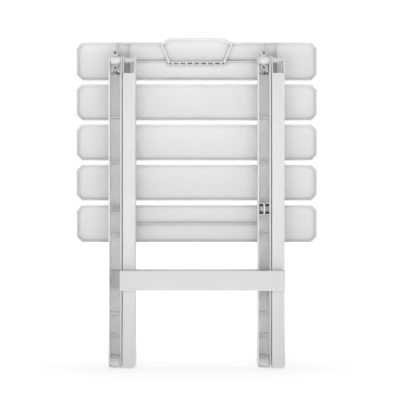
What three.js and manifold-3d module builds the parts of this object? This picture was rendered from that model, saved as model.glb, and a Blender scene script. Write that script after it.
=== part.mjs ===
// Slatted folding side table, stored folded flat and standing upright on its feet.
// Millimetres. +X right, +Y from the open underside towards the table surface, +Z up.
// z = 0 is the floor under the feet, y = 0 is the plane of the leg hinges.

import * as THREE from "three";
import { mergeVertices } from "three/addons/utils/BufferGeometryUtils.js";
import Module from "manifold-3d";

const wasm = await Module();
wasm.setup();

// ---- overall sizes
const TOP_WIDTH = 444.5; // slat length, across
const TABLE_FACE_Y = 35; // walking side of the slats
const SLAT_RIM_Y = 23; // open edge of the slat trays
const SLAT_ROWS = [
  [526.8, 597.6],
  [452.8, 520.2],
  [378.8, 445.8],
  [304.7, 371.4],
  [227.4, 296.9],
];
const CORNER_CUT = 10;
const SKIN = 2.3; // slat plate
const RIM = 2.2;
const RIM_BEVEL = 3; // softened outer edge of the table surface

// ---- lanes: each frame has two legs, the two frames are one moulding turned half round
const LANE_PITCH = 136;
const LANE_SHIFT = 13;
const LEG_WIDTH = 23.2;
const LEG_DEPTH = 44;
const LEG_WALL = 2.7;
const WEB = 3.6;
const HINGE_Z = 562;
const PIVOT_Z = 289.6;
const HEAD_RADIUS = 7.6;
const HEAD_START_Z = 539;
const WEB_TOP_Z = 537.2;
const CROSS_RIBS_Z = [457.7, 375.9, 243, 98.4, 58.8, 19.3];
const OUTER_PIVOT_RIBS_Z = [296.7, 283.9];
const INNER_PIVOT_RIBS_Z = [300.2, 279.2];
const CROSS_RIB = 2;
const CROSS_RIB_HEIGHT = 20;
const FOOT_FLARE = 8; // how far the foot spreads past the web
const FLARE_TOP_Z = 125;
const FOOT_LIFT = 6.5; // rise of the sole at the open side
const TOE_TOP_Z = 8.5; // front of the filled toe inside the channel
const TOE_SLOPE = [7, 5]; // first slope of the toe's top: back, up
const TOE_BACK = [-4, 18.5]; // where the sloping top of the toe meets the lowest rib
const FOOT_SLANT = [3, 18]; // slanting cut of one lower corner: across, up

// ---- crossbars
const BAR_Z = [141, 177.7];
const BAR_DEPTH = 13;
const BAR_WALL = 2.6;
const BAR_OVERHANG = [0.6, 5]; // past the outer leg, past the inner leg
const BAR_BEVEL = 2.5;

// ---- grip tab of the first slat
const GRIP_TOP = 605.6;
const GRIP_NECK = [67.5, 597.6]; // widest point: half width, height
const GRIP_FOOT = [53, 560.1];
const GRIP_HALF_TOP = 48;
const GRIP_CORNER = [6, 1.5]; // eased top corners: across, down
const GRIP_WALL = 3;
const GRIP_SHELF = 2.4; // wall along the foot and the top
const GRIP_FRONT_Y = SLAT_RIM_Y + 0.6;
const GRIP_FACE_DROP = 1.6; // the table face is drawn in by this at the tab's edge
const PLATE_Y = TABLE_FACE_Y - SKIN;

// ---- rails, hinges and catches
const RAIL_RIB = 3.4;
const RAIL_STRIP = 2.8;
const RAIL_STRIP_WIDTH = 46;
const RAIL_STRIP_Z = [231, 533];
const RAIL_RIB_Z = [231, 593.6];
const BOSS_RADIUS = 5.2;
const SADDLE_HALF = 8.4;
const SADDLE_RADIUS = 7.2;
const SADDLE_EAR_Y = -3; // front of the screw ears above and below the pin
const SADDLE_SCREWS_Z = [575.6, 548.4];
const HINGE_PIN_R = 4;
const CATCH_PIN_R = 5.2;
const SLIDE = 296.7; // travel of the free heads from folded to hooked
const CATCH_Z = HINGE_Z - SLIDE;
const PIVOT_PIN_R = 5.5;
const PIN_REACH = 1.2; // past the leg, short of the neighbour
const PIN_HEAD_PLAY = 1.8; // between the pin's head and the wall of its leg
const GAP = 0.3;
const OVER = 1; // how far a cutter runs past the face it opens
const EMBED = 0.5; // how deep a rib is rooted in its plate
const FUSE = 0.01; // overlap of two solids that are joined face to face

const white = { color: 0xe3e3e2, roughness: 0.5, metalness: 0 };
const steel = { color: 0xb4b4b2, roughness: 0.35, metalness: 0.9 };

const group = new THREE.Group();

// ---- solids from three.js geometry

function solid(geometry) {
  const plain = geometry.clone();
  plain.deleteAttribute("normal");
  plain.deleteAttribute("uv");
  const merged = mergeVertices(plain, 1e-4);
  const made = new wasm.Manifold(
    new wasm.Mesh({
      numProp: 3,
      vertProperties: new Float32Array(merged.attributes.position.array),
      triVerts: new Uint32Array(merged.index.array),
    }),
  );
  return made;
}

function join(pieces) {
  return pieces.reduce((whole, piece) => whole.add(piece));
}

function box(x0, x1, y0, y1, z0, z1) {
  const block = new THREE.BoxGeometry(x1 - x0, y1 - y0, z1 - z0);
  block.translate((x0 + x1) / 2, (y0 + y1) / 2, (z0 + z1) / 2);
  return solid(block);
}

function outline(points) {
  const shape = new THREE.Shape();
  points.forEach(([u, v], i) => (i ? shape.lineTo(u, v) : shape.moveTo(u, v)));
  shape.closePath();
  return shape;
}

// An outline in x, z carried from y0 to y1.
function plateXZ(points, y0, y1) {
  const flat = new THREE.ExtrudeGeometry(outline(points), { depth: y1 - y0, bevelEnabled: false });
  flat.rotateX(Math.PI / 2);
  flat.translate(0, y1, 0);
  return solid(flat);
}

// An outline in y, z carried from x0 to x1.
function plateYZ(points, x0, x1) {
  const side = new THREE.ExtrudeGeometry(outline(points), { depth: x1 - x0, bevelEnabled: false });
  side.applyMatrix4(new THREE.Matrix4().set(0, 0, 1, x0, 1, 0, 0, 0, 0, 1, 0, 0, 0, 0, 0, 1));
  return solid(side);
}

// A round bar along x, with its centre line at y, z.
function rodX(radius, x0, x1, y, z, sides = 24) {
  const bar = new THREE.CylinderGeometry(radius, radius, x1 - x0, sides);
  bar.rotateZ(Math.PI / 2);
  bar.translate((x0 + x1) / 2, y, z);
  return solid(bar);
}

// A round bar along y, with its centre line at x, z.
function rodY(radius, y0, y1, x, z, sides = 20) {
  const bar = new THREE.CylinderGeometry(radius, radius, y1 - y0, sides);
  bar.translate(x, (y0 + y1) / 2, z);
  return solid(bar);
}

function arc(cy, cz, radius, from, to, steps) {
  const points = [];
  for (let i = 0; i <= steps; i++) {
    const a = from + ((to - from) * i) / steps;
    points.push([cy + radius * Math.cos(a), cz + radius * Math.sin(a)]);
  }
  return points;
}

function node(name, made, look) {
  const mesh = made.getMesh();
  const geometry = new THREE.BufferGeometry();
  geometry.setAttribute("position", new THREE.BufferAttribute(mesh.vertProperties, 3));
  geometry.setIndex(new THREE.BufferAttribute(mesh.triVerts, 1));
  const drawn = new THREE.Mesh(geometry, new THREE.MeshStandardMaterial(look));
  drawn.name = name;
  group.add(drawn);
}

// ---- the table top

function slatOutline(inset, z0, z1) {
  const half = TOP_WIDTH / 2 - inset;
  const cut = CORNER_CUT - inset * 0.59;
  const low = z0 + inset;
  const high = z1 - inset;
  return [
    [-half, low + cut],
    [-half + cut, low],
    [half - cut, low],
    [half, low + cut],
    [half, high - cut],
    [half - cut, high],
    [-half + cut, high],
    [-half, high - cut],
  ];
}

const GRIP_SHAPE = [
  [-GRIP_FOOT[0], GRIP_FOOT[1]],
  [GRIP_FOOT[0], GRIP_FOOT[1]],
  [GRIP_NECK[0], GRIP_NECK[1]],
  [GRIP_HALF_TOP + GRIP_CORNER[0], GRIP_TOP - GRIP_CORNER[1]],
  [GRIP_HALF_TOP, GRIP_TOP],
  [-GRIP_HALF_TOP, GRIP_TOP],
  [-GRIP_HALF_TOP - GRIP_CORNER[0], GRIP_TOP - GRIP_CORNER[1]],
  [-GRIP_NECK[0], GRIP_NECK[1]],
];

function laneOf(side, frame) {
  return side * LANE_PITCH + frame * LANE_SHIFT;
}

function slatTray(row) {
  const [z0, z1] = row;
  const body = plateXZ(slatOutline(0, z0, z1), SLAT_RIM_Y, TABLE_FACE_Y - RIM_BEVEL);
  const face = plateXZ(slatOutline(RIM_BEVEL * 0.6, z0, z1), TABLE_FACE_Y - RIM_BEVEL - FUSE, TABLE_FACE_Y);
  const tray = plateXZ(slatOutline(RIM, z0, z1), SLAT_RIM_Y - OVER, PLATE_Y);
  return body.add(face).subtract(tray);
}

// The rail's own space, which every slat rim it crosses is notched for.
function railRoom(side) {
  const middle = side * LANE_PITCH;
  const half = RAIL_STRIP_WIDTH / 2 + GAP;
  const strip = box(
    middle - half,
    middle + half,
    SLAT_RIM_Y - OVER,
    SLAT_RIM_Y + RAIL_STRIP + 2 * GAP,
    RAIL_STRIP_Z[0] - GAP,
    RAIL_STRIP_Z[1] + GAP,
  );
  const ribs = [-1, 1].map((frame) => {
    const x = laneOf(side, frame);
    const reach = RAIL_RIB / 2 + GAP;
    return box(x - reach, x + reach, SLAT_RIM_Y - OVER, PLATE_Y, RAIL_RIB_Z[0] - GAP, RAIL_RIB_Z[1] + GAP);
  });
  const bosses = SADDLE_SCREWS_Z.map((z) => rodY(BOSS_RADIUS + GAP, SLAT_RIM_Y - OVER, PLATE_Y, laneOf(side, -1), z));
  return join([strip, ...ribs, ...bosses]);
}

const STIFFENER = 2;
const STIFFENER_HALF_LENGTH = LANE_PITCH - RAIL_STRIP_WIDTH / 2 - 1;
const GUSSETS = 8;
const GUSSET_PITCH = 12.8;
const GUSSET = 4.6;
const END_DASH = [1.4, 1.7]; // half width of the groove's end dashes, and their shift inwards
const GROOVE_Z = [556.7, 560.1];
const GROOVE_RIDGE_Z = 554.5;
const STIFFENERS_Z = [562.3, 262.1]; // first and last slats

function stiffener(z, fromX, toX) {
  return box(fromX, toX, SLAT_RIM_Y + 1, PLATE_Y + EMBED, z - STIFFENER / 2, z + STIFFENER / 2);
}

// The grip tab: a raised panel flush with the rim, with slanting side walls and a gusseted foot.
function gripTab() {
  const tab = plateXZ(GRIP_SHAPE, GRIP_FRONT_Y, TABLE_FACE_Y - RIM_BEVEL);
  const drawn = GRIP_SHAPE.map(([x, z]) => {
    const edge = z >= GRIP_NECK[1];
    return [x - Math.sign(x) * (RIM_BEVEL / 3), edge ? z - GRIP_FACE_DROP : z];
  });
  return tab.add(plateXZ(drawn, TABLE_FACE_Y - RIM_BEVEL - FUSE, TABLE_FACE_Y));
}

function gripHollow() {
  const corner = GRIP_TOP - GRIP_CORNER[1] - GRIP_SHELF;
  const cornerX = GRIP_HALF_TOP + GRIP_CORNER[0] - GRIP_WALL;
  const top = [GRIP_HALF_TOP - GRIP_CORNER[1], GRIP_TOP - GRIP_SHELF];
  const foot = [GRIP_FOOT[0] - 1, GRIP_FOOT[1] + GRIP_SHELF];
  const neck = [GRIP_NECK[0] - GRIP_WALL, GRIP_NECK[1]];
  const inner = [
    [-foot[0], foot[1]],
    foot,
    neck,
    [cornerX, corner],
    top,
    [-top[0], top[1]],
    [-cornerX, corner],
    [-neck[0], neck[1]],
  ];
  return plateXZ(inner, SLAT_RIM_Y - OVER, PLATE_Y);
}

function gripGroove() {
  const dashes = [];
  const span = GUSSETS * GUSSET_PITCH;
  for (let i = 0; i < GUSSETS + 1; i++) {
    const centre = -span / 2 + i * GUSSET_PITCH;
    const outer = i === 0 || i === GUSSETS;
    const half = outer ? END_DASH[0] : (GUSSET_PITCH - GUSSET) / 2;
    const shift = outer ? -Math.sign(centre) * END_DASH[1] : 0;
    dashes.push([centre + shift - half, centre + shift + half]);
  }
  return dashes;
}

// The ridge below the tab, tied to it by a row of gussets, and the stiffeners beside it.
function gripFoot() {
  const [rib] = STIFFENERS_Z;
  const near = GRIP_FOOT[0] + 1;
  const [low, high] = GROOVE_Z;
  const back = PLATE_Y + EMBED;
  const ridge = box(-GRIP_FOOT[0] - 1, GRIP_FOOT[0] + 1, GRIP_FRONT_Y, back, GROOVE_RIDGE_Z, low);
  const dashes = gripGroove();
  const gussets = dashes
    .slice(1)
    .map((dash, i) => box(dashes[i][1], dash[0], GRIP_FRONT_Y, back, low - EMBED, high + EMBED));
  const stiffeners = [
    stiffener(rib, -STIFFENER_HALF_LENGTH, -near),
    stiffener(rib, near, STIFFENER_HALF_LENGTH),
  ];
  return join([ridge, ...gussets, ...stiffeners]);
}

function buildTop() {
  SLAT_ROWS.forEach((row, i) => {
    let slat = slatTray(row);
    if (i === 0) slat = slat.add(gripTab()).subtract(gripHollow()).add(gripFoot());
    if (i === SLAT_ROWS.length - 1) {
      slat = slat.add(stiffener(STIFFENERS_Z[1], -STIFFENER_HALF_LENGTH, STIFFENER_HALF_LENGTH));
    }
    [-1, 1].forEach((side) => {
      slat = slat.subtract(railRoom(side));
    });
    node("slat_" + (i + 1), slat, white);
  });
}

// ---- rails under the slats, and what is screwed to them

function rail(side) {
  const middle = side * LANE_PITCH;
  const y0 = SLAT_RIM_Y + GAP;
  const strip = box(
    middle - RAIL_STRIP_WIDTH / 2,
    middle + RAIL_STRIP_WIDTH / 2,
    y0,
    y0 + RAIL_STRIP,
    RAIL_STRIP_Z[0],
    RAIL_STRIP_Z[1],
  );
  const ribs = [-1, 1].map((frame) => {
    const x = laneOf(side, frame);
    return box(x - RAIL_RIB / 2, x + RAIL_RIB / 2, y0, PLATE_Y - GAP, RAIL_RIB_Z[0], RAIL_RIB_Z[1]);
  });
  const bosses = SADDLE_SCREWS_Z.map((z) => rodY(BOSS_RADIUS, y0, PLATE_Y - GAP, laneOf(side, -1), z));
  const screwHole = (frame) => (z) => rodY(SCREW_R + GAP, y0 - OVER, SCREW_TIP_Y + GAP, laneOf(side, frame), z);
  const holes = [...SADDLE_SCREWS_Z.map(screwHole(-1)), ...HOOK_SCREWS_Z.map(screwHole(1))];
  const hookBosses = HOOK_SCREWS_Z.map((z) => rodY(BOSS_RADIUS, y0, PLATE_Y - GAP, laneOf(side, 1), z));
  return join([strip, ...ribs, ...bosses, ...hookBosses]).subtract(join(holes));
}

const SCREW_R = 1.8;
const SCREW_HEAD_R = 3.4;
const SCREW_HEAD = 2;
const SCREW_RECESS = [2.2, 0.5]; // half length and half width of each arm
const SCREW_TIP_Y = PLATE_Y - 2.6;
const HOOK_SCREWS_Z = [249.8];
const HOOK_FOOT_Y = SLAT_RIM_Y - 3; // front of the hook's screwed foot
const HOOK_THICK = 3;
const HOOK_PLAY = 0.5;
const HOOK_LIP = 3; // how far the lip stands past the pin's middle
const HOOK_BACK_UP = 7;
const HOOK_FOOT_DOWN = 19;
const EAR_NECK_HALF = 4.4;
const BORE_PLAY = 0.35;

// A block that holds the hinge pin forward of the rail, with a screw ear above and below.
function saddle(x) {
  const hump = [
    [SLAT_RIM_Y, HINGE_Z - SADDLE_RADIUS],
    ...arc(-1, HINGE_Z, SADDLE_RADIUS, -Math.PI / 2, -Math.PI * 1.5, 10),
    [SLAT_RIM_Y, HINGE_Z + SADDLE_RADIUS],
  ];
  const block = plateYZ(hump, x - SADDLE_HALF, x + SADDLE_HALF);
  const ears = SADDLE_SCREWS_Z.map((z) => rodY(BOSS_RADIUS, SADDLE_EAR_Y, SLAT_RIM_Y, x, z));
  const [upper, lower] = SADDLE_SCREWS_Z;
  const neck = box(x - EAR_NECK_HALF, x + EAR_NECK_HALF, SADDLE_EAR_Y, SLAT_RIM_Y, lower, upper);
  const bore = rodX(HINGE_PIN_R + BORE_PLAY, x - SADDLE_HALF - OVER, x + SADDLE_HALF + OVER, 0, HINGE_Z);
  const holes = SADDLE_SCREWS_Z.map((z) => rodY(SCREW_R + GAP, SADDLE_EAR_Y - OVER, SLAT_RIM_Y + OVER, x, z));
  return join([block, neck, ...ears]).subtract(join([bore, ...holes]));
}

// A pan head screw driven towards +Y, with a cross recess.
function screw(x, headY, tipY, z) {
  const head = rodY(SCREW_HEAD_R, headY, headY + SCREW_HEAD, x, z);
  const shank = rodY(SCREW_R, headY + SCREW_HEAD / 2, tipY, x, z, 12);
  const [long, narrow] = SCREW_RECESS;
  const floorY = headY + SCREW_HEAD / 2;
  const across = box(x - long, x + long, headY - OVER, floorY, z - narrow, z + narrow);
  const upright = box(x - narrow, x + narrow, headY - OVER, floorY, z - long, z + long);
  return head.add(shank).subtract(across).subtract(upright);
}

// An upturned hook that the free head's pin drops into when the table is set up.
function catchHook(x) {
  const seat = CATCH_PIN_R + HOOK_PLAY;
  const outer = seat + HOOK_THICK;
  const throat = CATCH_Z + HOOK_LIP;
  const profile = [
    [SLAT_RIM_Y, CATCH_Z - HOOK_FOOT_DOWN],
    [SLAT_RIM_Y, CATCH_Z + HOOK_BACK_UP],
    [seat + HOOK_THICK + 1, CATCH_Z + HOOK_BACK_UP],
    [seat, throat],
    ...arc(0, CATCH_Z, seat, 0, -Math.PI, 10),
    [-seat, throat],
    [-seat - HOOK_THICK / 2, throat + HOOK_THICK / 2],
    [-outer, throat],
    ...arc(0, CATCH_Z, outer, Math.PI, Math.PI * 1.38, 5),
    [HOOK_FOOT_Y, CATCH_Z - outer - 2],
    [HOOK_FOOT_Y, CATCH_Z - HOOK_FOOT_DOWN],
  ];
  const hook = plateYZ(profile, x - SADDLE_HALF, x + SADDLE_HALF);
  const holes = HOOK_SCREWS_Z.map((z) => rodY(SCREW_R + GAP, HOOK_FOOT_Y - OVER, SLAT_RIM_Y + OVER, x, z));
  return hook.subtract(join(holes));
}

// ---- leg frames, built as the hinged one: web towards +Y, open channel towards -Y

const LEG_HALF_DEPTH = LEG_DEPTH / 2;
const CAVITY_HALF = LEG_WIDTH / 2 - LEG_WALL;
const WEB_FACE_Y = LEG_HALF_DEPTH - WEB;

// The sole from its heel to the open side: flat to the middle, then rising.
function sole() {
  const points = [[LEG_HALF_DEPTH + FOOT_FLARE, 0]];
  const steps = 5;
  for (let i = 0; i <= steps; i++) {
    const t = i / steps;
    points.push([-LEG_HALF_DEPTH * t, FOOT_LIFT * t * t]);
  }
  return points;
}

// How far the flare has carried the web back at a height.
function flareAt(z) {
  return FOOT_FLARE * Math.max(0, 1 - z / FLARE_TOP_Z);
}

function legSide() {
  const crown = arc(0, HINGE_Z, HEAD_RADIUS, 0.1, Math.PI - 0.1, 10);
  return [
    [LEG_HALF_DEPTH, HEAD_START_Z],
    ...crown,
    [-LEG_HALF_DEPTH, HEAD_START_Z],
    ...sole().reverse(),
    [LEG_HALF_DEPTH, FLARE_TOP_Z],
  ];
}

function cavitySide() {
  return [
    [WEB_FACE_Y, WEB_TOP_Z],
    [LEG_HALF_DEPTH + OVER, WEB_TOP_Z],
    [LEG_HALF_DEPTH + OVER, HINGE_Z + HEAD_RADIUS + OVER],
    [-LEG_HALF_DEPTH - OVER, HINGE_Z + HEAD_RADIUS + OVER],
    [-LEG_HALF_DEPTH - OVER, TOE_TOP_Z - EMBED],
    [-LEG_HALF_DEPTH, TOE_TOP_Z],
    [-LEG_HALF_DEPTH + TOE_SLOPE[0], TOE_TOP_Z + TOE_SLOPE[1]],
    TOE_BACK,
    [WEB_FACE_Y + flareAt(TOE_BACK[1]), TOE_BACK[1]],
    [WEB_FACE_Y, FLARE_TOP_Z],
  ];
}

function crossRib(x, z, height) {
  const reach = CAVITY_HALF + EMBED;
  const back = WEB_FACE_Y + flareAt(z) + EMBED;
  return box(x - reach, x + reach, WEB_FACE_Y - height, back, z - CROSS_RIB / 2, z + CROSS_RIB / 2);
}

// The inner leg's pivot sits in a full-depth cell with a wall down its middle.
function pivotCell(x) {
  const depth = LEG_DEPTH - WEB;
  const [high, low] = INNER_PIVOT_RIBS_Z;
  const keeper = box(x - KEEPER / 2, x + KEEPER / 2, WEB_FACE_Y - depth, WEB_FACE_Y + EMBED, low, high);
  return join([crossRib(x, high, depth), crossRib(x, low, depth), keeper]);
}

const KEEPER = 2.4;
const HEAD_HOLE_R = 4.3;
const TONGUE_X = [-3, 8.2]; // from the leg's middle
const TONGUE_IN = 3; // how far the tongue reaches past the web
const TONGUE_Z = [BAR_Z[0] + 2, BAR_Z[1] - 2];
const WINDOW_X = [-8.7, 8.7];
const WINDOW_Z = [BAR_Z[0] + 1, BAR_Z[1] - 1];

function leg(x, inner) {
  const half = LEG_WIDTH / 2;
  const shell = plateYZ(legSide(), x - half, x + half);
  const cavity = plateYZ(cavitySide(), x - CAVITY_HALF, x + CAVITY_HALF);
  const ribs = CROSS_RIBS_Z.map((z) => crossRib(x, z, CROSS_RIB_HEIGHT));
  const pivot = inner ? [pivotCell(x)] : OUTER_PIVOT_RIBS_Z.map((z) => crossRib(x, z, CROSS_RIB_HEIGHT));
  const [across, up] = FOOT_SLANT;
  const slant = plateXZ(
    [
      [x + half - across - 0.2, -OVER],
      [x + half + OVER, -OVER],
      [x + half + OVER, up],
      [x + half, up],
    ],
    -LEG_HALF_DEPTH - OVER,
    LEG_HALF_DEPTH + FOOT_FLARE + OVER,
  );
  const window = box(
    x + WINDOW_X[0],
    x + WINDOW_X[1],
    WEB_FACE_Y - OVER,
    LEG_HALF_DEPTH + OVER,
    WINDOW_Z[0],
    WINDOW_Z[1],
  );
  const cuts = [slant, window, rodX(HEAD_HOLE_R, x - half - OVER, x + half + OVER, 0, HINGE_Z)];
  if (inner) cuts.push(rodX(PIVOT_PIN_R + GAP, x - KEEPER, x + half + OVER, 0, PIVOT_Z));
  return join([shell.subtract(cavity), ...ribs, ...pivot]).subtract(join(cuts));
}

function crossbar(outerX, innerX) {
  const x0 = outerX - LEG_WIDTH / 2 - BAR_OVERHANG[0];
  const x1 = innerX + LEG_WIDTH / 2 + BAR_OVERHANG[1];
  const y0 = LEG_HALF_DEPTH + GAP;
  const y1 = LEG_HALF_DEPTH + BAR_DEPTH;
  const [z0, z1] = BAR_Z;
  const section = [
    [y0, z0],
    [y1 - BAR_BEVEL, z0],
    [y1, z0 + BAR_BEVEL],
    [y1, z1 - BAR_BEVEL],
    [y1 - BAR_BEVEL, z1],
    [y0, z1],
  ];
  const hollow = box(x0 + BAR_WALL, x1 - BAR_WALL, y0 - OVER, y1 - BAR_WALL, z0 + BAR_WALL, z1 - BAR_WALL);
  const tongues = [outerX, innerX].map((x) =>
    box(
      x + TONGUE_X[0],
      x + TONGUE_X[1],
      WEB_FACE_Y - TONGUE_IN,
      y1 - BAR_WALL + EMBED,
      TONGUE_Z[0],
      TONGUE_Z[1],
    ),
  );
  return join([plateYZ(section, x0, x1).subtract(hollow), ...tongues]);
}

// The crossing pin: its head lies in the inner leg and its end reaches into the gap between the legs.
function pivotPin(x) {
  const head = x - CAVITY_HALF + PIN_HEAD_PLAY;
  const end = x + LEG_WIDTH / 2 + PIN_REACH;
  return rodX(PIVOT_PIN_R, head, end, 0, PIVOT_Z);
}

// Turns a piece of the hinged frame half round into the hooked frame.
function turned(made) {
  return made.rotate([0, 0, 180]);
}

function buildFrames() {
  const outer = laneOf(-1, -1);
  const inner = laneOf(1, -1);
  const frames = [
    ["hinged", (made) => made, "left", "right"],
    ["hooked", turned, "right", "left"],
  ];
  frames.forEach(([label, place, outerSide, innerSide]) => {
    node(label + "_leg_" + outerSide, place(leg(outer, false)), white);
    node(label + "_leg_" + innerSide, place(leg(inner, true)), white);
    node(label + "_crossbar", place(crossbar(outer, inner)), white);
    node("pivot_pin_" + innerSide, place(pivotPin(inner)), white);
  });
}

function buildFittings() {
  [
    ["left", -1],
    ["right", 1],
  ].forEach(([name, side]) => {
    const hinge = laneOf(side, -1);
    const hooked = laneOf(side, 1);
    node("rail_" + name, rail(side), white);
    node("hinge_saddle_" + name, saddle(hinge), white);
    SADDLE_SCREWS_Z.forEach((z, i) => {
      const label = "saddle_screw_" + name + "_" + (i ? "lower" : "upper");
      node(label, screw(hinge, SADDLE_EAR_Y - SCREW_HEAD - GAP, SCREW_TIP_Y, z), steel);
    });
    node("hinge_pin_" + name, rodX(HINGE_PIN_R, hinge - LEG_WIDTH / 2, hinge + LEG_WIDTH / 2, 0, HINGE_Z), steel);
    node("catch_pin_" + name, catchPin(hooked), white);
    node("catch_hook_" + name, catchHook(hooked), white);
    HOOK_SCREWS_Z.forEach((z) => {
      node("hook_screw_" + name, screw(hooked, HOOK_FOOT_Y - SCREW_HEAD - GAP, SCREW_TIP_Y, z), steel);
    });
  });
}

// A fat barrel between the cheeks of a free head, with a thin end in each cheek.
function catchPin(x) {
  const barrel = rodX(CATCH_PIN_R, x - CAVITY_HALF + GAP, x + CAVITY_HALF - GAP, 0, HINGE_Z);
  const ends = rodX(HINGE_PIN_R, x - LEG_WIDTH / 2, x + LEG_WIDTH / 2, 0, HINGE_Z);
  return barrel.add(ends);
}

buildTop();
buildFittings();
buildFrames();

export default group;
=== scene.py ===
import math

import bmesh
import bpy
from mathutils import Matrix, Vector


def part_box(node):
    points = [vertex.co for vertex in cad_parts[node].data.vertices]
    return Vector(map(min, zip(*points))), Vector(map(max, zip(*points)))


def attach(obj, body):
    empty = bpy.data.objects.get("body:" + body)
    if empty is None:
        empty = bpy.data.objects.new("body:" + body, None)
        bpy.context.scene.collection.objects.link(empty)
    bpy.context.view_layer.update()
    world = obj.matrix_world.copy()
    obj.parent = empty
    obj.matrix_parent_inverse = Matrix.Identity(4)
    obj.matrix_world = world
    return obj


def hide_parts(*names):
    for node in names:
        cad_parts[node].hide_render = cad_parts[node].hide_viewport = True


# Folding slatted side table, folded flat and standing on its feet. Metres.
# +X right, +Y through the table surface, +Z up; y = 0 is the plane of the hinges.

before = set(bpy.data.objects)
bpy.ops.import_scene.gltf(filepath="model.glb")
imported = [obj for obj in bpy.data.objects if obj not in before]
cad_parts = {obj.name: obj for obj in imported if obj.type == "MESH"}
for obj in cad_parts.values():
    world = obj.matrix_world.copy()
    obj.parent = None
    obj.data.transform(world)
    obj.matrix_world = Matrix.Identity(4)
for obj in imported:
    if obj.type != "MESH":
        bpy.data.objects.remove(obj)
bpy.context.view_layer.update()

MM = 0.001
SHARP_ANGLE = math.radians(32)
SMOOTH_ANGLE = math.radians(38)


# ---- working in edit mode, as by hand


def only(piece):
    bpy.ops.object.select_all(action="DESELECT")
    piece.select_set(True)
    bpy.context.view_layer.objects.active = piece


def place(piece):
    """Puts a piece's place into its mesh, so that its object sits at the origin."""
    only(piece)
    bpy.ops.object.transform_apply(location=True, rotation=True, scale=True)
    return piece


def block(name, low, high):
    """A block to carve, from its lowest to its highest corner, in millimetres."""
    low, high = Vector(low) * MM, Vector(high) * MM
    bpy.ops.object.select_all(action="DESELECT")
    bpy.ops.mesh.primitive_cube_add(size=1, location=(low + high) / 2, scale=high - low)
    piece = bpy.context.object
    piece.name = piece.data.name = name
    return place(piece)


def rod(name, radius, start, end, axis, sides=32):
    """A round bar along an axis, from start to end, in millimetres."""
    start, end = Vector(start) * MM, Vector(end) * MM
    turn = {"X": (0, math.pi / 2, 0), "Y": (math.pi / 2, 0, 0), "Z": (0, 0, 0)}[axis]
    bpy.ops.object.select_all(action="DESELECT")
    bpy.ops.mesh.primitive_cylinder_add(
        vertices=sides,
        radius=radius * MM,
        depth=(end - start).length,
        location=(start + end) / 2,
        rotation=turn,
    )
    piece = bpy.context.object
    piece.name = piece.data.name = name
    return place(piece)


class Shaping:
    """Opens a piece in edit mode with nothing selected, and picks faces or edges in millimetres."""

    def __init__(self, piece):
        self.piece = piece

    def __enter__(self):
        only(self.piece)
        bpy.ops.object.mode_set(mode="EDIT")
        bpy.ops.mesh.select_all(action="DESELECT")
        return self

    def __exit__(self, *_):
        bpy.ops.object.mode_set(mode="OBJECT")

    def _mesh(self, kind):
        bpy.ops.mesh.select_mode(type=kind)
        bpy.ops.mesh.select_all(action="DESELECT")
        return bmesh.from_edit_mesh(self.piece.data)

    def faces(self, test):
        mesh = self._mesh("FACE")
        for face in mesh.faces:
            face.select_set(bool(test(face.calc_center_median() / MM, face.normal)))
        bmesh.update_edit_mesh(self.piece.data)

    def edges(self, test):
        mesh = self._mesh("EDGE")
        for edge in mesh.edges:
            if test(edge.verts[0].co / MM, edge.verts[1].co / MM):
                edge.select_set(True)
        bmesh.update_edit_mesh(self.piece.data)

    def everything(self):
        bpy.ops.mesh.select_all(action="SELECT")

    def bevel(self, width, segments=3):
        bpy.ops.mesh.bevel(offset=width * MM, segments=segments, affect="EDGES", clamp_overlap=True)

    def inset(self, thickness, depth=0.0):
        bpy.ops.mesh.inset(thickness=thickness * MM, depth=depth * MM)

    def extrude(self, x, y, z):
        way = {"value": (x * MM, y * MM, z * MM)}
        bpy.ops.mesh.extrude_region_move(TRANSFORM_OT_translate=way)

    def resize(self, x, y, z, about):
        bpy.ops.transform.resize(value=(x, y, z), center_override=Vector(about) * MM)

    def move(self, x, y, z):
        bpy.ops.transform.translate(value=(x * MM, y * MM, z * MM))

    def cut_away(self, point, normal):
        """Takes off everything on the normal's side of a plane and closes the cut."""
        self.everything()
        bpy.ops.mesh.bisect(
            plane_co=Vector(point) * MM, plane_no=normal, use_fill=True, clear_outer=True
        )


def near(a, b, slack=0.05):
    return abs(a - b) < slack


def carve(piece, tool, how="DIFFERENCE"):
    """Takes a tool's shape out of a piece, or joins it on, and throws the tool away."""
    only(piece)
    cut = piece.modifiers.new(how.lower(), "BOOLEAN")
    cut.operation = how
    cut.solver = "EXACT"
    cut.object = tool
    bpy.ops.object.modifier_apply(modifier=cut.name)
    bpy.data.objects.remove(tool)
    return piece


def gather(piece, *others):
    """Joins finished parts of one piece into one mesh."""
    bpy.ops.object.select_all(action="DESELECT")
    for other in others:
        other.select_set(True)
    piece.select_set(True)
    bpy.context.view_layer.objects.active = piece
    bpy.ops.object.join()
    return piece


def soften(piece, width, segments=2):
    """Rounds every sharp edge a little and smooths the rounding."""
    only(piece)
    rounding = piece.modifiers.new("rounding", "BEVEL")
    rounding.width = width * MM
    rounding.segments = segments
    rounding.limit_method = "ANGLE"
    rounding.angle_limit = SHARP_ANGLE
    rounding.use_clamp_overlap = True
    bpy.ops.object.modifier_apply(modifier=rounding.name)
    bpy.ops.object.shade_smooth_by_angle(angle=SMOOTH_ANGLE)
    return piece


def copy_turned(piece, name):
    """A copy with its own mesh, turned half round the upright axis through the middle."""
    only(piece)
    bpy.ops.object.duplicate()
    twin = bpy.context.object
    twin.name = twin.data.name = name
    twin.rotation_euler = (0, 0, math.pi)
    return place(twin)


def finish(piece, node, body, material):
    """Gives a piece its finish and the body it rides on, and hides the solid it stands for."""
    piece.data.materials.clear()
    piece.data.materials.append(material)
    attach(piece, body)
    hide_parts(node)
    return piece


# ---- shader maths

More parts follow.
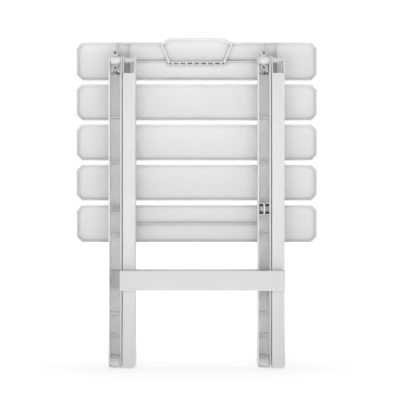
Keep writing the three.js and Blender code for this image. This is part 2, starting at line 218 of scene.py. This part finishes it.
# The colour sockets of a Mix node, which has others of the same names.
MIX_FIRST = 6
MIX_SECOND = 7
MIX_RESULT = 2


class Wire:
    """A socket's value, or a plain number, that adds Math nodes when it is worked with."""

    def __init__(self, shade, value):
        self.shade, self.value = shade, value

    def _with(self, operation, other, flipped=False):
        pair = [other, self] if flipped else [self, other]
        made = self.shade.node("ShaderNodeMath", {"operation": operation}, {0: pair[0], 1: pair[1]})
        return made.out(0)

    def __add__(self, other):
        return self._with("ADD", other)

    def __radd__(self, other):
        return self._with("ADD", other, True)

    def __rsub__(self, other):
        return self._with("SUBTRACT", other, True)

    def __mul__(self, other):
        return self._with("MULTIPLY", other)

    def __rmul__(self, other):
        return self._with("MULTIPLY", other, True)


class Placed:
    """A node just added, and a way to take its outputs."""

    def __init__(self, shade, made):
        self.shade, self.made = shade, made

    def out(self, which):
        return Wire(self.shade, self.made.outputs[which])


class Shade:
    """The nodes of one material, or of the room's light."""

    def __init__(self, name, tree=None):
        if not tree:
            self.material = bpy.data.materials.new(name)
            self.material.use_nodes = True
            tree = self.material.node_tree
        self.tree = tree
        self.tree.nodes.clear()

    def node(self, kind, settings=None, inputs=None):
        made = self.tree.nodes.new(kind)
        for key, value in (settings or {}).items():
            setattr(made, key, value)
        for key, value in (inputs or {}).items():
            if isinstance(value, Wire):
                self.tree.links.new(value.value, made.inputs[key])
            else:
                made.inputs[key].default_value = value
        return Placed(self, made)

    def spots(self):
        return self.node("ShaderNodeTexCoord").out("Object")

    def noise(self, scale, detail, rough=0.5, stretch=None):
        where = self.spots()
        if stretch:
            drawn_out = {"Vector": where, "Scale": stretch}
            where = self.node("ShaderNodeMapping", {}, drawn_out).out("Vector")
        grain = {"Vector": where, "Scale": scale, "Detail": detail, "Roughness": rough}
        return self.node("ShaderNodeTexNoise", {}, grain).out("Fac")

    def hollow(self, reach):
        """1 in the open, and less where a piece's own walls stand closer than reach."""
        settings = {"only_local": True, "samples": 8}
        return self.node("ShaderNodeAmbientOcclusion", settings, {"Distance": reach}).out("AO")

    def bump(self, strength, distance, height, under=None):
        inputs = {"Strength": strength, "Distance": distance, "Height": height}
        if under:
            inputs["Normal"] = under
        return self.node("ShaderNodeBump", {}, inputs).out("Normal")

    def between(self, low, high, value):
        """0 below low, 1 above high, and smooth between."""
        settings = {"interpolation_type": "SMOOTHSTEP"}
        inputs = {"Value": value, "From Min": low, "From Max": high}
        return self.node("ShaderNodeMapRange", settings, inputs).out("Result")

    def mix(self, factor, first, second):
        """The first colour where the factor is 0 and the second where it is 1."""
        inputs = {0: factor, MIX_FIRST: first, MIX_SECOND: second}
        return self.node("ShaderNodeMix", {"data_type": "RGBA"}, inputs).out(MIX_RESULT)

    def surface(self, plain, varying):
        shader = self.node("ShaderNodeBsdfPrincipled", {}, {**plain, **varying})
        self.node("ShaderNodeOutputMaterial", {}, {"Surface": shader.out("BSDF")})
        return self.material


PALEST = 0.92


def grey(level, warm=0.0):
    return (level * (1 + warm), level, level * (1 - warm), 1.0)


def resin(name, level, painted_hollow_tone=0.92, reach=0.006, milky=0.6, brim=0.05):
    """Moulded white resin: fine grain, faint flow marks, lighter sharp edges, and painted shade in
    hollows that can be set to paint light there instead.

    The number after level is the painted tone in a hollow against the open, below 1 painted shade and
    above 1 painted light; reach how wide a hollow counts, milky how much light goes under the skin,
    and brim where the painted tone starts.
    """
    shade = Shade(name)
    flow = shade.noise(5.0, 4.0, 0.55, stretch=(0.5, 1.0, 1.6))
    mottle = shade.noise(60.0, 3.0, 0.6)
    flow_marks = shade.between(0.3, 0.7, flow)
    tone = shade.mix(flow_marks, grey(level * 0.975, 0.002), grey(level * 1.012, 0.002))
    blotches = shade.between(0.42, 0.66, mottle) * 0.25
    tone = shade.mix(blotches, tone, grey(level * 0.96, 0.004))
    # Painted shade in hollows: the tone there goes to the hollow tone, which paints light instead when
    # set above 1.
    hollow = shade.hollow(reach)
    tone = shade.mix(shade.between(brim, brim + 0.6, hollow), grey(level * painted_hollow_tone, 0.004), tone)
    # Lighter along sharp edges, found by the mesh's pointiness.
    sharp_edges = shade.between(0.52, 0.60, shade.node("ShaderNodeNewGeometry").out("Pointiness"))
    tone = shade.mix(sharp_edges * 0.35, tone, grey(min(level * 1.12, PALEST)))
    fine = shade.noise(1400.0, 2.0, 0.6)
    rough = 0.40 + 0.10 * mottle + 0.06 * fine + 0.05 * (1 - hollow)
    ripple = shade.bump(0.05, 0.004, shade.noise(22.0, 2.0, 0.4))
    skin = shade.bump(0.12, 0.0002, fine, ripple)
    plain = {
        "IOR": 1.47,
        "Specular IOR Level": 0.42,
        "Subsurface Weight": milky,
        "Subsurface Scale": 0.0035,
        "Subsurface Radius": (1.0, 1.0, 0.95),
    }
    return shade.surface(plain, {"Base Color": tone, "Roughness": rough, "Normal": skin})


def plated_steel(name):
    """Zinc plated steel with turning marks, a dull film in patches and painted shade in its recesses."""
    shade = Shade(name)
    film = shade.between(0.35, 0.7, shade.noise(300.0, 4.0, 0.6))
    turning = shade.noise(2600.0, 1.0, 0.4, stretch=(1.0, 0.15, 1.0))
    tone = shade.mix(film, grey(0.72, 0.01), grey(0.58, 0.015))
    # Painted shade: the steel turns near black in its own recesses, such as a screw's cross recess.
    recess = shade.between(0.45, 0.85, shade.hollow(0.003))
    tone = shade.mix(recess, grey(0.05), tone)
    rough = 0.5 + 0.2 * film
    marks = shade.bump(0.15, 0.0001, turning)
    return shade.surface({"Metallic": 1.0}, {"Base Color": tone, "Roughness": rough, "Normal": marks})


# The slats' hollows get painted shade, the legs' hollows are painted lighter as painted light in the
# channels, and the fittings get a little painted shade.
SLAT_RESIN = resin("slat_resin", 0.715, painted_hollow_tone=0.70, reach=0.010, milky=0.3, brim=0.35)
LEG_RESIN = resin("leg_resin", 0.71, painted_hollow_tone=1.32, reach=0.028)
FITTING_RESIN = resin("fitting_resin", 0.71)
STEEL = plated_steel("plated_steel")


# ---- slats: shallow trays with a sloping inner band and softened corners

CORNER_CUT = 10.0
RIM_FLAT = 0.9
BAND_WIDTH = 4.3
PLATE = 2.3
OUTER_ROUND = 3.4
BAND_ROUND = 2.6
FLOOR_ROUND = 1.6
EMBED = 0.4  # how far a joined-on rib runs into the wall behind it
RIB_HALF = 1.1
RIB_SET_BACK = 1.6
TAB_NECK_HALF = 67.5
TAB_TOP_HALF = 48.0
TAB_FOOT_HALF = 53.0
TAB_HEIGHT = 8.0
TAB_FOOT_BELOW = 37.5  # below the slat's edge
TAB_ROUND = 2.6
TAB_WALL_TAPER = 0.945
TAB_FLOOR_TAPER = (0.955, 0.91)  # across and upright, towards the tab's floor
TAB_FOOT_WALL = 1.6
TAB_TOP_WALL = 2.6
RIDGE = (5.4, 3.2)  # the ridge's lower and upper side, below the tab's foot
GUSSET_COUNT = 8
GUSSET_PITCH = 12.8
GUSSET_HALF = 2.1
END_GUSSET_HALF = 1.2
LAST_SLAT_RIB = 34.7  # above the lowest slat's lower edge
STIFFENER_HALF = 112.0


def millimetres(node):
    low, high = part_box(node)
    return low / MM, high / MM


def tray(name, low, high):
    """A slat seen as a tray that opens towards -Y."""
    floor_depth = (high.y - low.y) - PLATE
    piece = block(name, low, high)
    with Shaping(piece) as hand:
        hand.edges(lambda a, b: not near(a.y, b.y))
        hand.bevel(CORNER_CUT, 1)
        hand.edges(lambda a, b: near(a.y, high.y) and near(b.y, high.y))
        hand.bevel(OUTER_ROUND, 4)
        hand.faces(lambda c, n: n.y < -0.99)
        hand.inset(RIM_FLAT)
        hand.inset(BAND_WIDTH, -floor_depth)
        # The corners of the band, then the floor's outline, are rounded.
        floor = low.y + floor_depth
        hand.edges(lambda a, b: near(min(a.y, b.y), low.y) and near(max(a.y, b.y), floor))
        hand.bevel(BAND_ROUND)
        hand.edges(lambda a, b: near(a.y, floor) and near(b.y, floor))
        hand.bevel(FLOOR_ROUND)
    return piece


def stiffener(name, x0, x1, low_y, floor_y, z):
    """A thin rib on a slat's floor, drawn in to a narrow crest."""
    rib = block(
        name, (x0, low_y + RIB_SET_BACK, z - RIB_HALF), (x1, floor_y + EMBED, z + RIB_HALF)
    )
    with Shaping(rib) as hand:
        hand.faces(lambda c, n: n.y < -0.9)
        hand.resize(1, 1, 0.55, (0, 0, z))
    return rib


def tab_prism(name, edge_z, y0, y1, shrink=0.0):
    """The pull tab's outline: widening up to the slat's edge, then drawn in at the top."""
    foot_z = edge_z - TAB_FOOT_BELOW + shrink
    half = TAB_FOOT_HALF - shrink
    prism = block(name, (-half, y0, foot_z), (half, y1, edge_z))
    with Shaping(prism) as hand:
        hand.faces(lambda c, n: n.z > 0.9)
        hand.resize((TAB_NECK_HALF - shrink) / half, 1, 1, (0, 0, edge_z))
        hand.extrude(0, 0, TAB_HEIGHT - shrink)
        hand.resize((TAB_TOP_HALF - shrink) / (TAB_NECK_HALF - shrink), 1, 1, (0, 0, edge_z))
    return prism


def pull_tab(low, high, edge_z):
    """The tab's own tray: broad slanting side walls that fall towards its floor, a thin foot and top."""
    tab = tab_prism("tab", edge_z, low.y + 0.3, high.y)
    with Shaping(tab) as hand:
        outer = lambda a, b: near(a.y, high.y) and near(b.y, high.y)
        hand.edges(lambda a, b: outer(a, b) and max(a.z, b.z) > edge_z + 0.1)
        hand.bevel(TAB_ROUND)
    hollow = tab_prism("hollow", edge_z, low.y - 2, high.y - PLATE)
    foot_z = edge_z - TAB_FOOT_BELOW
    with Shaping(hollow) as hand:
        hand.everything()
        hand.resize(TAB_WALL_TAPER, 1, 1, (0, 0, edge_z))
        hand.faces(lambda c, n: n.z < -0.9)
        hand.move(0, 0, TAB_FOOT_WALL)
        hand.faces(lambda c, n: n.z > 0.9)
        hand.move(0, 0, -TAB_TOP_WALL)
        hand.faces(lambda c, n: n.y > 0.9)
        across, upright = TAB_FLOOR_TAPER
        hand.resize(across, 1, upright, (0, 0, foot_z + TAB_FOOT_WALL))
    return carve(tab, hollow)


def gusset_row(low, floor_y, foot_z):
    """The tab's foot: a ridge below it, tied to it by a row of small gussets."""
    half = TAB_FOOT_HALF + 0.5
    back = floor_y + EMBED
    ridge = block("ridge", (-half, low.y + 0.8, foot_z - RIDGE[0]), (half, back, foot_z - RIDGE[1]))
    with Shaping(ridge) as hand:
        hand.faces(lambda c, n: n.y < -0.9)
        hand.resize(1, 1, 0.6, (0, 0, foot_z - 4.0))
    middle = (GUSSET_COUNT - 1) / 2
    places = [((i - middle) * GUSSET_PITCH, GUSSET_HALF) for i in range(GUSSET_COUNT)]
    places += [(side * (TAB_FOOT_HALF - 1.0), END_GUSSET_HALF) for side in (-1, 1)]
    front, bottom, top = low.y + 0.9, foot_z - 4.4, foot_z + 1.0
    gussets = [block("gusset", (x - w, front, bottom), (x + w, back, top)) for x, w in places]
    return [ridge, *gussets]


def make_slat(number):
    node = "slat_%d" % number
    low, high = millimetres(node)
    edge_z = high.z - (TAB_HEIGHT if number == 1 else 0)
    top = Vector((high.x, high.y, edge_z))
    piece = tray(node, low, top)
    floor_y = high.y - PLATE
    if number == 1:
        foot_z = edge_z - TAB_FOOT_BELOW
        carve(piece, tab_prism("tab_room", edge_z, low.y - 5, high.y + 5, shrink=1.2))
        carve(piece, pull_tab(low, high, edge_z), "UNION")
        rib_z = foot_z + 2.3
        start = TAB_FOOT_HALF + 1.0
        ribs = [
            stiffener("rib", -STIFFENER_HALF, -start, low.y, floor_y, rib_z),
            stiffener("rib", start, STIFFENER_HALF, low.y, floor_y, rib_z),
        ]
        gather(piece, *ribs, *gusset_row(low, floor_y, foot_z))
    if number == 5:
        rib_z = low.z + LAST_SLAT_RIB
        gather(piece, stiffener("rib", -STIFFENER_HALF, STIFFENER_HALF, low.y, floor_y, rib_z))
    soften(piece, 0.35)
    return finish(piece, node, "table_top", SLAT_RESIN)


for number in range(1, 6):
    make_slat(number)


# ---- leg frames: open channels with cross ribs, one moulding for both frames

LEG_WALL = 2.3
WEB = 3.6
WEB_TOP_Z = 537.2
HEAD_START_Z = 539.0
FLARE = 8.0
FLARE_TOP_Z = 125.0
CROSS_RIBS = (457.7, 375.9, 243.0, 98.4, 58.8, 19.3)
OUTER_PIVOT_RIBS = (296.7, 283.9)
INNER_PIVOT_RIBS = (300.2, 279.2)
BAR_Z = (142.9, 178.7)
RIB_HEIGHT = 20.0
CHANNEL_FOOT = 3.0
HEEL_ROUND = 6.2
BACK_ROUND = 3.4
TOE_ROUND = 13.5
RIB_RUN_IN = 1.2  # how far a cross rib starts inside the leg's outer faces
WINDOW_REACH = (8.9, 8.7)  # the bar's window, to the left and right of the leg's middle
LEG_GAIN = 0.7  # the leg is this much wider than its solid, to close on its neighbour

hinge_low, hinge_high = millimetres("hinge_pin_left")
HINGE_Z = (hinge_low.z + hinge_high.z) / 2
pin_low, pin_high = millimetres("pivot_pin_right")
PIVOT_Z = (pin_low.z + pin_high.z) / 2


def leg_outside(name, low, high):
    """The leg's outer form: straight up, drawn in to a rounded head, with a spread heel."""
    depth = high.y - FLARE
    piece = block(name, (low.x, -depth, 0), (high.x, depth, FLARE_TOP_Z))
    radius = high.z - HINGE_Z
    with Shaping(piece) as hand:
        hand.faces(lambda c, n: n.z > 0.9)
        hand.extrude(0, 0, HEAD_START_Z - FLARE_TOP_Z)
        hand.extrude(0, 0, HINGE_Z - HEAD_START_Z)
        hand.resize(1, radius / depth, 1, (0, 0, HINGE_Z))
        hand.extrude(0, 0, radius)
        hand.edges(lambda a, b: near(a.z, high.z) and near(b.z, high.z) and near(a.y, b.y))
        hand.bevel(radius * 0.98, 7)
        sole = lambda a, b: near(a.z, 0) and near(b.z, 0)
        hand.edges(lambda a, b: sole(a, b) and near(a.y, depth) and near(b.y, depth))
        hand.move(0, FLARE, 0)
        hand.edges(lambda a, b: sole(a, b) and near(a.y, -depth) and near(b.y, -depth))
        hand.bevel(HEEL_ROUND, 5)
        # The closed side's long edges are well rounded.
        upright = lambda a, b: near(a.x, b.x) and abs(a.z - b.z) > 50
        hand.edges(lambda a, b: upright(a, b) and min(a.y, b.y) > 0.9 * depth)
        hand.bevel(BACK_ROUND, 4)
        # And each is planed off a little further, as seen along the leg.
        hand.cut_away((high.x - 3.1, 0, 0), (18, 0, -3.1))
        hand.cut_away((low.x + 5.0, 0, 0), (-5.5, 0, -5.0))
    return piece


def spread(z):
    """How far the closed side leans out at a height."""
    return max(0.0, FLARE * (1 - z / FLARE_TOP_Z))


def channel_room(low, high):
    """What is taken out to leave walls and web: open to -Y, and right through at the head."""
    depth = high.y - FLARE
    face = depth - WEB
    foot = CHANNEL_FOOT
    room = block(
        "room", (low.x + LEG_WALL, -depth - 8, foot), (high.x - LEG_WALL, face, FLARE_TOP_Z)
    )
    with Shaping(room) as hand:
        ends = lambda a: near(a.z, foot) and near(a.y, face)
        hand.edges(lambda a, b: ends(a) and ends(b))
        hand.move(0, spread(foot), 0)
        hand.faces(lambda c, n: n.z > 0.9)
        hand.extrude(0, 0, WEB_TOP_Z - FLARE_TOP_Z)
        hand.extrude(0, 0, 70)
        hand.faces(lambda c, n: n.y > 0.9 and c.z > WEB_TOP_Z)
        hand.extrude(0, 12, 0)
    return room


def toe(low, high):
    """The filled toe under the lowest rib, rounded over towards the open side."""
    depth = high.y - FLARE
    front = -depth + 0.8
    made = block("toe", (low.x + 1.0, front, 1.4), (high.x - 3.4, depth + 2, CROSS_RIBS[-1] - 0.6))
    with Shaping(made) as hand:
        hand.edges(lambda a, b: min(a.z, b.z) > 10 and near(a.y, front) and near(b.y, front))
        hand.bevel(TOE_ROUND, 7)
    return made


def cross_rib(low, high, z, height):
    """A rib from wall to wall, drawn in to a narrower crest."""
    face = high.y - FLARE - WEB
    back = face + spread(z) + 0.6
    rib = block(
        "rib", (low.x + RIB_RUN_IN, face - height, z - 1.0), (high.x - RIB_RUN_IN, back, z + 1.0)
    )
    with Shaping(rib) as hand:
        hand.faces(lambda c, n: n.y < -0.9)
        hand.resize(1, 1, 0.7, (0, 0, z))
    return rib


def make_leg(name, low, high, inner):
    """A whole leg; an inner one has a keeper for the crossing pin between two full ribs."""
    piece = leg_outside(name, low, high)
    carve(piece, channel_room(low, high))
    middle = (low.x + high.x) / 2
    depth = high.y - FLARE
    face = depth - WEB
    window = block(
        "window",
        (middle - WINDOW_REACH[0], face - 4, BAR_Z[0] + 1.2),
        (middle + WINDOW_REACH[1], depth + 4, BAR_Z[1] - 1.2),
    )
    carve(piece, window)
    parts = [toe(low, high)]
    parts += [cross_rib(low, high, z, RIB_HEIGHT) for z in CROSS_RIBS]
    if inner:
        full = depth + face - 0.25
        parts += [cross_rib(low, high, z, full) for z in INNER_PIVOT_RIBS]
        upper, lower = INNER_PIVOT_RIBS
        keeper = block(
            "keeper", (middle - 1.2, -depth + 0.3, lower), (middle + 1.2, face + 0.5, upper)
        )
        parts.append(keeper)
    else:
        parts += [cross_rib(low, high, z, RIB_HEIGHT) for z in OUTER_PIVOT_RIBS]
    gather(piece, *parts)
    return soften(piece, 0.45)


def frame_set():
    """The hinged frame's two legs, and the same pair turned half round for the hooked frame."""
    for side, other, inner in (("left", "right", False), ("right", "left", True)):
        low, high = millimetres("hinged_leg_" + side)
        high.x += LEG_GAIN
        leg = make_leg("hinged_leg_" + side, low, high, inner)
        twin = copy_turned(leg, "hooked_leg_" + other)
        finish(leg, "hinged_leg_" + side, "hinged_legs", LEG_RESIN)
        finish(twin, "hooked_leg_" + other, "hooked_legs", LEG_RESIN)


frame_set()


# ---- crossbars: hollow-backed rails whose tongues reach through the webs


BAR_WALL = 2.4


def crossbar():
    """A bar with a hollow back and a tongue through each leg's window, and its turned twin."""
    low, high = millimetres("hinged_crossbar")
    leg_low, leg_high = millimetres("hinged_leg_left")
    inner_low, inner_high = millimetres("hinged_leg_right")
    back = leg_high.y - FLARE + 0.3
    bar = block("hinged_crossbar", (low.x, back, low.z), (high.x, high.y, high.z))
    with Shaping(bar) as hand:
        hand.edges(lambda a, b: near(a.y, high.y) and near(b.y, high.y))
        hand.bevel(2.2, 4)
        hand.faces(lambda c, n: n.y < -0.99)
        hand.inset(BAR_WALL)
        hand.extrude(0, high.y - back - 2.6, 0)
    tongues = []
    for a, b in ((leg_low, leg_high), (inner_low, inner_high)):
        x = (a.x + b.x) / 2
        tongue = block(
            "tongue", (x - 3.0, low.y, low.z + 2.2), (x + 8.0, high.y - 2.0, high.z - 2.2)
        )
        with Shaping(tongue) as hand:
            hand.faces(lambda c, n: n.y < -0.9)
            hand.inset(1.8)
            hand.extrude(0, 2.4, 0)
        tongues.append(tongue)
    gather(bar, *tongues)
    soften(bar, 0.4)
    twin = copy_turned(bar, "hooked_crossbar")
    finish(bar, "hinged_crossbar", "hinged_legs", LEG_RESIN)
    finish(twin, "hooked_crossbar", "hooked_legs", LEG_RESIN)


crossbar()


# ---- rails under the slats


RIB_STEP_Z = 566.0  # above the hinge the ribs drop back to a low fin
STRIP_Z = (231.0, 533.0)
STRIP_THICK = 2.8
SCREW_BOSS = 5.2


def lane_of(node):
    low, high = millimetres(node)
    return (low.x + high.x) / 2


def fin(x, half, front, back, bottom, top, crest):
    """An upright rib whose front edge is drawn in to part of its thickness."""
    made = block("rib", (x - half, front, bottom), (x + half, back, top))
    with Shaping(made) as hand:
        hand.faces(lambda c, n: n.y < -0.9)
        hand.resize(crest, 1, 1, (x, 0, 0))
    return made


def screw_place(side, label):
    """The middle of one of a hinge block's screws, across and upright."""
    a, b = millimetres("saddle_screw_%s_%s" % (side, label))
    return (a.x + b.x) / 2, (a.z + b.z) / 2


def make_rail(side):
    """A base strip with two long ribs, one for each lane, and bosses for the screws."""
    node = "rail_" + side
    low, high = millimetres(node)
    back = high.y + 0.3
    rail = block(node, (low.x, low.y, STRIP_Z[0]), (high.x, low.y + STRIP_THICK, STRIP_Z[1]))
    parts = []
    for lane in ("hinged_leg_" + side, "hooked_leg_" + side):
        x = lane_of(lane)
        rib = fin(x, 1.8, low.y, back, low.z, RIB_STEP_Z, 0.6)
        shallow = fin(x, 1.5, high.y - 6.5, back, RIB_STEP_Z - 1, high.z, 0.7)
        parts += [shallow, rib]
    for label in ("upper", "lower"):
        x, z = screw_place(side, label)
        parts.append(rod("boss", SCREW_BOSS, (x, low.y, z), (x, back, z), "Y", 28))
    gather(rail, *parts)
    soften(rail, 0.35)
    return finish(rail, node, "table_top", SLAT_RESIN)


# ---- hinge blocks, pins and screws

HUMP_RADIUS = 7.2
EAR_FRONT = -3.0
NECK_HALF = 4.2
SKIRT_Y = 4.0
SKIRTS = ((-8.2, -4.0), (-1.6, 0.6), (3.2, 8.2))  # across, from the block's middle
SCREW_HEAD = 2.0
CROSS_ARM = 2.2
CROSS_HALF = 0.8
CROSS_DEPTH = 1.7
PIN_CHEEK = 2.8
BARREL_LANDS = ((0.0, 0.30), (0.36, 0.60), (0.66, 1.0))
SPLIT_HALF = 0.45
SPLIT_Z = 1.7


def washer_seat(x, y, z, radius):
    """A raised ring round a screw hole, standing forward of its ear."""
    ring = rod("ring", radius, (x, y - 1.6, z), (x, y + 0.6, z), "Y", 36)
    with Shaping(ring) as hand:
        hand.faces(lambda c, n: n.y < -0.9)
        hand.inset(1.2)
        hand.extrude(0, 1.4, 0)
    return ring


def make_saddle(side):
    """A block forward of the rail that holds the hinge pin, with a screw ear above and below."""
    node = "hinge_saddle_" + side
    low, high = millimetres(node)
    x = (low.x + high.x) / 2
    z = HINGE_Z
    ear_y = EAR_FRONT
    hump = block(node, (low.x, low.y, z - HUMP_RADIUS), (high.x, high.y, z + HUMP_RADIUS))
    with Shaping(hump) as hand:
        hand.edges(lambda a, b: near(a.y, low.y) and near(b.y, low.y) and near(a.z, b.z))
        hand.bevel(HUMP_RADIUS * 0.95, 8)
    ears = []
    for label in ("upper", "lower"):
        screw_z = screw_place(side, label)[1]
        ears.append(rod("ear", SCREW_BOSS, (x, ear_y, screw_z), (x, high.y, screw_z), "Y", 36))
        ears.append(washer_seat(x, ear_y, screw_z, SCREW_BOSS + 0.2))
        inner = z + math.copysign(HUMP_RADIUS - 1.0, screw_z - z)
        bottom, top = min(screw_z, inner), max(screw_z, inner)
        neck = block("neck", (x - NECK_HALF, ear_y + 0.4, bottom), (x + NECK_HALF, high.y, top))
        ears.append(neck)
    skirt_low, skirt_high = z - 21.0, z - HUMP_RADIUS + 1.0
    for x0, x1 in SKIRTS:
        ears.append(block("skirt", (x + x0, SKIRT_Y, skirt_low), (x + x1, high.y, skirt_high)))
    gather(hump, *ears)
    soften(hump, 0.35)
    return finish(hump, node, "table_top", FITTING_RESIN)


def make_screw(node):
    """A pan head screw with a cross recess."""
    low, high = millimetres(node)
    x, z = (low.x + high.x) / 2, (low.z + high.z) / 2
    radius = (high.x - low.x) / 2
    head = rod(node, radius, (x, low.y, z), (x, low.y + SCREW_HEAD, z), "Y", 36)
    with Shaping(head) as hand:
        hand.edges(lambda a, b: near(a.y, low.y) and near(b.y, low.y))
        hand.bevel(1.0, 4)
    floor_y = low.y + CROSS_DEPTH
    for wide, tall in ((CROSS_ARM, CROSS_HALF), (CROSS_HALF, CROSS_ARM)):
        slot = block("slot", (x - wide, low.y - 1, z - tall), (x + wide, floor_y, z + tall))
        carve(head, slot)
    shank = rod("shank", 1.8, (x, low.y + 1.8, z), (x, high.y, z), "Y", 16)
    gather(head, shank)
    soften(head, 0.12)
    return finish(head, node, "table_top", STEEL)


def make_hinge_pin(side):
    node = "hinge_pin_" + side
    low, high = millimetres(node)
    radius = (high.z - low.z) / 2
    pin = rod(node, radius, (low.x, 0, HINGE_Z), (high.x, 0, HINGE_Z), "X", 36)
    with Shaping(pin) as hand:
        hand.faces(lambda c, n: abs(n.x) > 0.9)
        hand.inset(1.2)
    soften(pin, 0.5, 3)
    return finish(pin, node, "hinged_legs", STEEL)


def make_catch_pin(side):
    """A fat barrel with two grooves between the cheeks of a free head."""
    node = "catch_pin_" + side
    low, high = millimetres(node)
    radius = (high.z - low.z) / 2
    core = rod(node, radius * 0.78, (low.x, 0, HINGE_Z), (high.x, 0, HINGE_Z), "X", 40)
    width = (high.x - low.x) - 2 * PIN_CHEEK
    lands = []
    for start, end in BARREL_LANDS:
        x0 = low.x + PIN_CHEEK + width * start
        x1 = low.x + PIN_CHEEK + width * end
        lands.append(rod("land", radius, (x0, 0, HINGE_Z), (x1, 0, HINGE_Z), "X", 40))
    gather(core, *lands)
    soften(core, 0.5, 3)
    return finish(core, node, "catch_pins", FITTING_RESIN)


def make_pivot_pin(side, body, away):
    """The crossing pin: a plain head on one side of its keeper and split legs on the other."""
    node = "pivot_pin_" + side
    low, high = millimetres(node)
    radius = (high.z - low.z) / 2
    pin = rod(node, radius, (low.x, 0, PIVOT_Z), (high.x, 0, PIVOT_Z), "X", 40)
    with Shaping(pin) as hand:
        hand.edges(lambda a, b: near(a.x, b.x))
        hand.bevel(0.7, 3)
    middle = lane_of("hinged_leg_right") * away
    start, end = (middle + 1.3, high.x + 1) if away > 0 else (low.x - 1, middle - 1.3)
    reach = radius + 1
    for z in (PIVOT_Z - SPLIT_Z, PIVOT_Z + SPLIT_Z):
        carve(pin, block("slot", (start, -reach, z - SPLIT_HALF), (end, reach, z + SPLIT_HALF)))
    soften(pin, 0.25)
    return finish(pin, node, body, FITTING_RESIN)


for side in ("left", "right"):
    make_rail(side)
    make_saddle(side)
    make_hinge_pin(side)
    make_catch_pin(side)
    for label in ("upper", "lower"):
        make_screw("saddle_screw_%s_%s" % (side, label))
    make_screw("hook_screw_" + side)

make_pivot_pin("right", "hinged_legs", 1)
make_pivot_pin("left", "hooked_legs", -1)

# The hooks keep their CAD form and take the fittings' finish.
for side in ("left", "right"):
    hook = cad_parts["catch_hook_" + side]
    hook.data.materials.clear()
    hook.data.materials.append(FITTING_RESIN)


# ---- floor, light and camera


def light_table(name, level):
    """Pale floor that glows like a light table, with a painted shadow: it glows less under the table
    than further out.
    """
    shade = Shade(name)
    cloud = shade.noise(3.0, 2.0)
    tone = shade.mix(shade.between(0.3, 0.7, cloud), grey(level * 0.995), grey(level))
    length = shade.node("ShaderNodeVectorMath", {"operation": "LENGTH"}, {0: shade.spots()})
    distance = length.out("Value")
    # Painted shadow: the floor's glow drops from 0.9 far out to 0.34 near the table's middle.
    glow = shade.mix(shade.between(0.2, 1.1, distance), grey(0.34), grey(0.9))
    plain = {"Roughness": 0.9, "Specular IOR Level": 0.1, "Emission Strength": 1.0}
    return shade.surface(plain, {"Base Color": tone, "Emission Color": glow})


bpy.ops.object.select_all(action="DESELECT")
bpy.ops.mesh.primitive_plane_add(size=60, location=(0, 0, 0))
floor = bpy.context.object
floor.name = floor.data.name = "floor"
floor.data.materials.append(light_table("light_table", 0.9))

world = bpy.data.worlds.new("studio")
bpy.context.scene.world = world
world.use_nodes = True
room = Shade("room", world.node_tree)
FRONT_WALL = grey(0.36)
BACK_WALL = grey(1.05)
way = room.node("ShaderNodeTexCoord").out("Generated")
ahead = room.node("ShaderNodeSeparateXYZ", {}, {"Vector": way}).out("Y")
glow = room.mix(room.between(0.3, 0.85, ahead), FRONT_WALL, BACK_WALL)
# The walls look white from every side, and light the table less from its open side.
seen = room.node("ShaderNodeLightPath").out("Is Camera Ray")
glow = room.mix(seen, glow, BACK_WALL)
lit = room.node("ShaderNodeBackground", {}, {"Color": glow, "Strength": 1.0}).out("Background")
room.node("ShaderNodeOutputWorld", {}, {"Surface": lit})


def soft_light(name, place_at, aim_at, size, power):
    lamp = bpy.data.lights.new(name, "AREA")
    lamp.shape = "RECTANGLE"
    lamp.size, lamp.size_y = size
    lamp.energy = power
    holder = bpy.data.objects.new(name, lamp)
    bpy.context.scene.collection.objects.link(holder)
    holder.location = place_at
    aim = Vector(aim_at) - Vector(place_at)
    holder.rotation_euler = aim.to_track_quat("-Z", "Y").to_euler()


TABLE_MIDDLE = (0, 0, 0.3)
soft_light("left_box", (-0.5, -1.3, 0.60), TABLE_MIDDLE, (0.25, 0.25), 0.8)
soft_light("right_box", (0.5, -1.3, 0.60), TABLE_MIDDLE, (0.25, 0.25), 0.8)
soft_light("top_box", (0.0, 0.1, 2.4), (0, 0, 0), (1.6, 1.2), 12)
soft_light("front_box", (0.0, -3.3, 1.15), TABLE_MIDDLE, (0.9, 0.7), 11.5)
soft_light("low_box", (0.0, -1.5, 0.10), (0, 0, 0.1), (1.2, 0.15), 2.4)

CAMERA_AWAY = 3.0
CAMERA_HEIGHT = 0.3059
CAMERA_ASIDE = 0.0061
SENSOR = 36
VIEW_WIDTH = 400 * 1.8345 * MM  # what the view takes in, at the hinge plane

camera = bpy.data.objects.new("camera", bpy.data.cameras.new("camera"))
bpy.context.scene.collection.objects.link(camera)
bpy.context.scene.camera = camera
camera.location = (CAMERA_ASIDE, -CAMERA_AWAY, CAMERA_HEIGHT)
camera.rotation_euler = (math.pi / 2, 0, 0)
camera.data.sensor_width = SENSOR
camera.data.lens = SENSOR * CAMERA_AWAY / VIEW_WIDTH
bpy.context.scene.view_settings.view_transform = "Standard"
